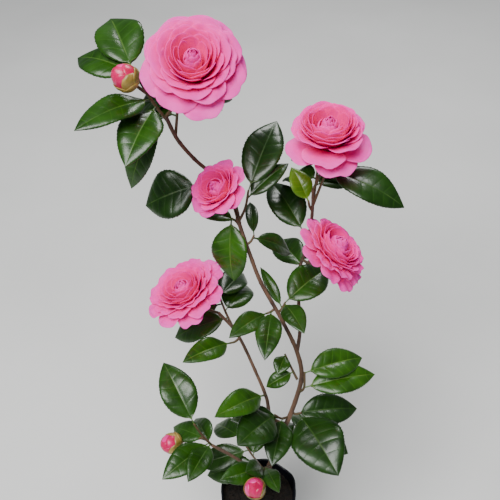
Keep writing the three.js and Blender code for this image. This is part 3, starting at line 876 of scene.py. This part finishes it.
def add_sheet(gathered, grid, thickness, look):
    """A closed sheet, thinner at its edges; look is one look, or one for each strip from base to tip."""
    rows, columns = grid.shape[:2]
    share = np.ones((rows, columns, 1))
    share[-1] = PETAL_EDGE
    share[:, [0, -1]] = PETAL_EDGE
    half = surface_normals(grid) * share * thickness / 2
    looks = np.repeat(np.broadcast_to(look, rows - 1), columns - 1)
    add_thick(gathered, grid, half, looks, looks, looks[-1])


def scale_grid(base, facing, profile, turn, spread, low, high, lift):
    """A rounded scale that lies on a turned body, between two heights along the body's axis."""
    axis, right, ahead = frame_about(facing)
    rises, acrosses = np.linspace(0, 1, SCALE_POINTS), np.linspace(-1, 1, SCALE_POINTS)
    rise, across = np.meshgrid(rises, acrosses, indexing="ij")
    level = mix(low, high, rise)
    radii, heights = np.array(profile, float).T
    radius = np.interp(level, heights, radii) + lift * (1 + SCALE_FLARE * rise)
    half = math.radians(spread) * np.sqrt(1 - (SCALE_TIP * rise) ** 3)
    angle = math.radians(turn) + across * half
    return base + radius[..., None] * arrows_round(angle, right, ahead) + level[..., None] * axis


def bloom_line(bloom, limbs):
    """A bloom's stalk, from its limb to the middle of its sepals."""
    axis = unit(vector(bloom["facing"]))
    start = limbs[bloom["on"]]["line"].at(bloom["at"])
    end = vector(bloom["base"])
    return bent_line(start, end - axis * np.linalg.norm(end - start) * STALK_BEND, end)


def add_petals(petals, bloom, number):
    """A bloom's open petals and the heart that they close round."""
    first = BLOOM_SEEDS * number
    for index in range(bloom["petals"]):
        # Inner petals get deeper pinks: their own tone and painted shade of the bowl.
        looks = petal_looks(INNER_TONE_AND_SHADE * petal_inward(bloom, index))
        add_sheet(petals, open_petal(bloom, index, first + PETAL_SEEDS * index), PETAL_THICKNESS, looks)
    for ring in range(HEART_RINGS):
        for index in range(HEART_PETALS):
            petal = heart_petal(bloom, ring, index, first + HEART_SEEDS + RING_SEEDS * ring + index)
            add_sheet(petals, petal, PETAL_THICKNESS, petal_looks(HEART_DEPTH_OF_COLOUR))


def sepal_profile(bloom):
    """The cup that the sepals lie on, as (radius, height) from the stalk upward."""
    radius, height, cup = bloom["radius"], bloom["height"], bloom["cup"]
    return [
        (0.02 * radius, -0.2 * height),
        (0.15 * radius, -0.14 * height),
        ((0.2 + 0.3 * cup) * radius, (0.25 * cup - 0.05) * height),
        ((0.24 + 0.55 * cup) * radius, 0.6 * cup * height),
    ]


def add_sepals(sepals, bloom):
    """Sepals that overlap round a bloom's cup, each a little longer than the one before."""
    height = bloom["height"]
    for index in range(SEPALS):
        tip = mix(0.3, 0.6, index / (SEPALS - 1)) * bloom["cup"] * height
        grid = scale_grid(
            vector(bloom["base"]), bloom["facing"], sepal_profile(bloom), turn=index * GOLDEN_TURN,
            spread=SEPAL_SPREAD, low=-0.19 * height, high=tip, lift=SEPAL_LIFT)
        add_sheet(sepals, grid, SEPAL_THICKNESS, SEPAL_LOOK)


# Buds: plump bodies in wrapped petals and scales. The outline is (radius, height) from stalk to tip.

BUD_PROFILE = BUD_RADIUS * np.array([
    (0.03, -0.1), (0.45, 0), (0.78, 0.25), (0.92, 0.6), (0.96, 1), (0.86, 1.4), (0.66, 1.75),
    (0.36, 2.03), (0.03, 2.16),
])
BUD_SIDES = 24
BUD_PETALS = 5
BUD_PETAL_TURN = 60
BUD_PETAL_SPREAD = 62
BUD_PETAL_THICKNESS = 0.4
BUD_SCALES = 7
BUD_SCALE_SPREAD = 54
BUD_SCALE_THICKNESS = 0.5


def add_bud(petals, bud):
    """A pink body in wrapped petals, with scales over its lower part."""
    base, facing, r = vector(bud["base"]), bud["facing"], BUD_RADIUS
    add_turned(petals, base, vector(facing), BUD_PROFILE, BUD_SIDES)
    for index in range(BUD_PETALS):
        share = index / (BUD_PETALS - 1)
        grid = scale_grid(
            base, facing, BUD_PROFILE, turn=BUD_PETAL_TURN + index * GOLDEN_TURN, spread=BUD_PETAL_SPREAD,
            low=0.3 * r, high=mix(1.9, 2.1, share) * r, lift=mix(0.35, 0.1, share))
        add_sheet(petals, grid, BUD_PETAL_THICKNESS, (PINK_LOOK, PALE_LOOK)[index % 2])
    for index in range(BUD_SCALES):
        share = index / (BUD_SCALES - 1)
        grid = scale_grid(
            base, facing, BUD_PROFILE, turn=index * GOLDEN_TURN, spread=BUD_SCALE_SPREAD,
            low=0, high=mix(1.6, 0.7, share) * r, lift=mix(0.5, 0.95, share))
        add_sheet(petals, grid, BUD_SCALE_THICKNESS, SEPAL_LOOK)


def bud_line(twig, bud):
    """A bud's stalk, from its twig to just inside the bud."""
    base = vector(bud["base"])
    axis = unit(vector(bud["facing"]))
    return bent_line(twig.at(bud["at"]), base - 0.6 * BUD_RADIUS * axis, base + 0.2 * BUD_RADIUS * axis)


# Limbs and twigs

STEM_TAPER = 1.5
TWIG_TAPER = 0.7
TWIG_CURVE = 0.15
RELIEF_SEEDS = 31
RIDGES = (2, 3, 5, 7)
RIDGE_DEPTH = 0.035
SCAR_STEP = 23
SCAR_PLACE = 11
SCAR_WIDTH = 1.3
SCAR_DEPTH = 0.12
FIRST_LEAF = 0.3
LAST_LEAF_SIZE = 0.8
LEAF_TURN_ENDS = (30, 65)
LEAF_RISE_ENDS = (-35, -5)
LEAF_SEEDS = 10


def stem_radius(share):
    flare = max(0, 1 - share * stem_line.length / FLARE_HEIGHT)
    taper = mix(STEM_RADIUS, STEM_TIP_RADIUS, min(1, share * STEM_TAPER))
    return taper + (FLARE_RADIUS - STEM_RADIUS) * flare**2


def bough_radius(bough):
    return lambda share: STEM_RADIUS * mix(bough["from"], bough["to"], share)


def twig_radius(share):
    return TWIG_RADIUS * mix(1, TWIG_TAPER, share)


def stalk_radius(share):
    """A stalk that carries a bloom or a bud doesn't taper."""
    return TWIG_RADIUS


def bark_relief(seed):
    """Ridges that wander along a limb, and a low ring at each old leaf's scar."""
    def ridge(count, distance, turns):
        wander = distance / (5 + 3 * count) * math.sin(count * 1.7)
        return RIDGE_DEPTH * np.sin(count * turns + chance(seed + count) * FULL_PHASE + wander)

    def relief(distance, turns):
        ridges = sum(ridge(count, distance, turns) for count in RIDGES)
        scar = SCAR_DEPTH * math.exp(-((distance % SCAR_STEP - SCAR_PLACE) / SCAR_WIDTH) ** 2)
        return 1 + ridges + scar

    return relief


def listed_leaves(spray, twig):
    return [leaf_frame(twig.at(row[0]), *row[1:]) for row in spray["leaves"]]


def grown_line(spray, limbs):
    """A twig that leaves its limb straight and then turns up a little."""
    start = limbs[spray["on"]]["line"].at(spray["at"])
    along = direction(spray["heading"], spray["rise"])
    middle = start + along * spray["length"] / 2
    return line_through([start, middle, start + along * spray["length"] + UP * spray["length"] * TWIG_CURVE])


def grown_leaves(spray, twig):
    """Leaves stand on the twig's two sides by turns and one ends it; all hang a little."""
    count, seed = spray["count"], spray["seed"]
    leaves = []
    for index in range(count):
        side = 1 if index % 2 == 0 else -1
        turn = 0 if index + 1 == count else side * between(LEAF_TURN_ENDS, seed + index)
        base = twig.at(mix(FIRST_LEAF, 1, index / (count - 1)))
        rise = between(LEAF_RISE_ENDS, seed * 2 + index)
        length = LEAF_LENGTH * mix(1, LAST_LEAF_SIZE, index / count)
        leaves.append(leaf_frame(base, spray["heading"] + turn, rise, length))
    return leaves


def add_spray(twigs, leaves, taken, twig, frames, seed):
    """A twig with its leaves. A grown leaf, which has a seed, is skipped where it has no room."""
    add_twig(twigs, twig, twig_radius)
    own = []
    for index, leaf in enumerate(frames):
        if not seed or has_room(leaf, taken):
            own.append(add_leaf(leaves, leaf, seed + LEAF_SEEDS * index + 1))
    taken.extend(own)


# Build the plant

stem_line = line_through(STEM_POINTS)
limbs = {"main_stem": {"line": stem_line, "radius": stem_radius}}
for name, bough in BOUGHS.items():
    limbs[name] = {"line": line_through(bough["points"]), "radius": bough_radius(bough)}

for number, (name, limb) in enumerate(limbs.items()):
    wood = Gathered()
    relief = bark_relief(RELIEF_SEEDS * number)
    add_limb(wood, limb["line"], limb["radius"], BOUGH_SIDES, BOUGH_STEP, relief)
    wood.make(f"bark_{name}", [BARK], "bark", [name])

sepals, twigs = Gathered(), Gathered()
for number, (name, bloom) in enumerate(BLOOMS.items()):
    petals = Gathered()
    add_petals(petals, bloom, number)
    add_sepals(sepals, bloom)
    petals.make(f"petals_{name}", PETAL_LOOKS, "petal", [name])
    add_twig(twigs, bloom_line(bloom, limbs), stalk_radius)

buds = Gathered()
leaves = {tone: Gathered() for tone in LEAF_TONES}
replaced = {tone: [] for tone in LEAF_TONES}
taken = []
for name, spray in SPRAYS.items():
    tone = spray["tone"]
    twig = line_through(spray["twig"])
    add_spray(twigs, leaves[tone], taken, twig, listed_leaves(spray, twig), 0)
    replaced[tone].append(name)
    if "bud" in spray:
        add_bud(buds, spray["bud"])
        add_twig(twigs, bud_line(twig, spray["bud"]), stalk_radius)
for name, spray in GROWN_SPRAYS.items():
    twig = grown_line(spray, limbs)
    add_spray(twigs, leaves[GROWN_TONE], taken, twig, grown_leaves(spray, twig), spray["seed"])
    replaced[GROWN_TONE].append(name)

for tone, gathered in leaves.items():
    gathered.make(f"leaves_{tone}", LEAF_TONES[tone], "leaf", replaced[tone])
sepals.make("sepals", BUD_LOOKS, "leaf", list(BLOOMS))
buds.make("buds", BUD_LOOKS, "petal", [name for name in SPRAYS if "bud" in SPRAYS[name]])
twigs.make("twigs", [TWIG], "bark", [*BLOOMS, *SPRAYS, *GROWN_SPRAYS])


# Bag: the wall's levels and radii are shares of the bag's height and radius, and the gap is what two
# layers of film keep clear of each other

PINHOLE = 0.01
FILM_THICKNESS = 0.7
FILM_GAP = 0.3
FOOT_RADII = (PINHOLE, 0.4 * BAG_RADIUS, 0.84 * BAG_RADIUS)
WALL_LEVELS = (0.02, 0.3, 0.7, 0.9, 1)
WALL_RADII = (0.93, 0.99, 1, 0.975, 1)
WALL_RINGS = 56
COLLAR_DEPTH = 11
COLLAR_STEP = 1.1
COLLAR_RINGS = 8
RIM_DROP = 1.8
RIM_ROLL = 0.5
INNER_DEPTH = 20
INNER_START = 0.05
INNER_RINGS = 12
BAG_TURNS = 180
CREASES = 9
CREASE_SEEDS = 300
CREASE_CLIMB_ENDS = (30, 75)
CREASE_DEPTHS = (0.28, 0.5)
CREASE_RISE = 12
DEEPER_FROM = 0.6
WOBBLE = 0.8
WOBBLE_FROM = 0.85


def film_creases(turns, heights):
    """How far the film stands in or out: creases that cross each other, deeper near the open rim."""
    total = np.zeros(np.broadcast(turns, heights).shape)
    for seed in range(CREASE_SEEDS, CREASE_SEEDS + CREASES):
        lean = between((-1, 1), seed)
        waves = 2 + round(7 * chance(seed + 20))
        climb = heights / between(CREASE_CLIMB_ENDS, seed + 40) * lean
        phase = turns * waves / (2 * math.pi) + climb + chance(seed + 60)
        total += 0.5 - np.abs(2 * (phase % 1) - 1)
    return total * mix(*CREASE_DEPTHS, smooth_from(DEEPER_FROM, 1, heights / BAG_HEIGHT))


def wall_radius(heights):
    """The film bulges over the soil, draws in above it and opens again at the rim."""
    return BAG_RADIUS * np.interp(heights / BAG_HEIGHT, WALL_LEVELS, WALL_RADII)


def bag_profile(turns):
    """Rings of radii and heights: the foot, the wall, the collar folded down outside, and the inside."""
    rim = BAG_HEIGHT - RIM_DROP + 1.2 * np.sin(2 * turns + 0.5) + 0.5 * np.sin(7 * turns)
    fold = rim - COLLAR_DEPTH + 2 * np.sin(2 * turns + 2) + 1.1 * np.sin(5 * turns)
    level = np.ones(len(turns))
    wall = [mix(BAG_HEM, fold - FILM_GAP, share) for share in np.linspace(0, 1, WALL_RINGS)]
    collar = [mix(fold, rim, share) for share in np.linspace(0, 1, COLLAR_RINGS)]
    inside = [rim - INNER_DEPTH * share for share in np.linspace(INNER_START, 1, INNER_RINGS)]
    rings = [
        *[(radius * level, 0 * level) for radius in FOOT_RADII],
        *[(wall_radius(height), height) for height in wall],
        *[(wall_radius(height) + COLLAR_STEP, height) for height in collar],
        ((BAG_RADIUS + 0.4 * COLLAR_STEP) * level, rim + RIM_ROLL),
        ((BAG_RADIUS - 0.4) * level, rim),
        *[(wall_radius(height) - FILM_THICKNESS - FILM_GAP, height) for height in inside],
    ]
    radii, heights = (np.array(part) for part in zip(*rings))
    return radii, heights


def make_bag():
    turns = full_turn(BAG_TURNS)
    radii, heights = bag_profile(turns)
    crease = film_creases(turns[None], heights) * smooth(heights / CREASE_RISE)
    wobble = WOBBLE * smooth_from(WOBBLE_FROM, 1, heights / BAG_HEIGHT) * np.sin(3 * turns + 1)
    radius = radii + crease + wobble
    points = np.stack([radius * np.cos(turns), radius * np.sin(turns), heights], -1)
    bag = Gathered()
    bag.add(points.reshape(-1, 3), tube_faces(*heights.shape))
    bag.make("bag_film", [FILM], "bag", ["nursery_bag"])


# Soil: a lumpy top with crumbs on it, over a plain closed body

SOIL_SEED = 5
SOIL_RADIUS = 0.955 * BAG_RADIUS
SOIL_RINGS = 40
SOIL_TURNS = 120
SOIL_FOOT = 3
SOIL_FOOT_SHARE = 0.9
SOIL_SINK = 0.6
LUMPS = 12
LUMP_SIZE = 0.5
LUMP_HEIGHTS = (0.6, 0.15)
LUMP_WAVES = (0.2, 1.6)
CRUMBS = 260
CRUMB_SIZES = (0.7, 2.2)
CRUMB_SIDES = 6
CRUMB_SINK = 0.5
CRUMB_PROFILE = np.array([(0.02, -0.7), (0.8, -0.3), (1, 0.2), (0.02, 0.8)])


def soil_lumps(radii, turns, random):
    """Low swells that cross each other, the first ones the highest."""
    headings = random.uniform(0, FULL_PHASE, LUMPS)
    waves = random.uniform(*LUMP_WAVES, LUMPS)
    phases = random.uniform(0, FULL_PHASE, LUMPS)
    total = 0
    for k in range(LUMPS):
        along = radii[:, None] * np.cos(turns + headings[k])[None]
        total = total + mix(*LUMP_HEIGHTS, k / (LUMPS - 1)) * np.sin(along * waves[k] + phases[k])
    return total


def add_crumbs(ground, random):
    """Crumbs of all sizes, spread evenly over the soil and tipped every way."""
    for _ in range(CRUMBS):
        spot = random.uniform(0, 2 * math.pi)
        far = math.sqrt(random.uniform(0.02, 1)) * 0.92 * BAG_RADIUS
        size = random.uniform(*CRUMB_SIZES)
        base = np.array([far * math.cos(spot), far * math.sin(spot), SOIL_LEVEL - CRUMB_SINK])
        add_turned(ground, base, random.uniform(-1, 1, 3), CRUMB_PROFILE * size, CRUMB_SIDES)


def make_soil():
    random = np.random.default_rng(SOIL_SEED)
    radii = np.linspace(PINHOLE, SOIL_RADIUS, SOIL_RINGS)
    turns = full_turn(SOIL_TURNS)
    heights = SOIL_LEVEL - SOIL_SINK + soil_lumps(radii, turns, random) * LUMP_SIZE
    top = np.stack([radii[:, None] * np.cos(turns), radii[:, None] * np.sin(turns), heights], -1)
    foot = top[-1].copy()
    foot[:, 2] = SOIL_FOOT
    foot_rings = [foot * [share, share, 1] for share in (SOIL_FOOT_SHARE, PINHOLE)]
    ground = Gathered()
    ground.add(np.vstack([top.reshape(-1, 3), *foot_rings]), tube_faces(SOIL_RINGS + 2, SOIL_TURNS)[:, ::-1])
    add_crumbs(ground, random)
    ground.make("soil_top", [SOIL_WITH_PAINTED_SHADE], "soil", ["soil"])


make_bag()
make_soil()


# Stage: floor, light and camera, in metres

FLOOR_HALF_WIDTH = 4
SKY_COLOUR = (0.86, 0.92, 1.0, 1)
SKY_STRENGTH = 0.16
LIGHT_AIM = (0, 0.05, 0.4)
CAMERA_PLACE = (-0.0087, -0.391, 0.859)
CAMERA_PITCH = math.radians(47.6)


def make_light(name, place, size, power):
    """A square soft light that looks at the middle of the plant."""
    lamp = bpy.data.lights.new(name, "AREA")
    lamp.size = size
    lamp.energy = power
    holder = linked(name, lamp)
    holder.location = place
    way = vector(LIGHT_AIM) - vector(place)
    pitch = math.acos(-way[2] / np.linalg.norm(way))
    holder.rotation_euler = (pitch, 0, math.atan2(way[1], way[0]) - math.pi / 2)


def make_floor():
    half = FLOOR_HALF_WIDTH
    corners = [(-half, -half, 0), (half, -half, 0), (half, half, 0), (-half, half, 0)]
    mesh = bpy.data.meshes.new("floor")
    mesh.from_pydata(corners, [], [(0, 1, 2, 3)])
    mesh.materials.append(material(
        "floor", colour_of(214, 214, 212), colour_of(222, 222, 220), scale=3, roughness=(0.8, 0.9),
        bump=0.05, distance=0.001))
    linked("floor", mesh)


def make_world():
    world = bpy.data.worlds.new("studio")
    world.use_nodes = True
    background = world.node_tree.nodes["Background"]
    background.inputs["Color"].default_value = SKY_COLOUR
    background.inputs["Strength"].default_value = SKY_STRENGTH
    bpy.context.scene.world = world


def make_camera():
    """Stands where the photo was taken from, a little left of the bag's middle and above the shrub."""
    camera = bpy.data.cameras.new("camera")
    camera.sensor_width = 36
    camera.lens = 51.1
    holder = linked("camera", camera)
    holder.location = CAMERA_PLACE
    holder.rotation_euler = (CAMERA_PITCH, 0, 0)
    bpy.context.scene.camera = holder


make_floor()
make_world()
make_camera()
make_light("key_light", (-0.5, -0.7, 2.0), size=1.1, power=66)
make_light("back_light", (0.4, 1.5, 1.7), size=0.6, power=20)
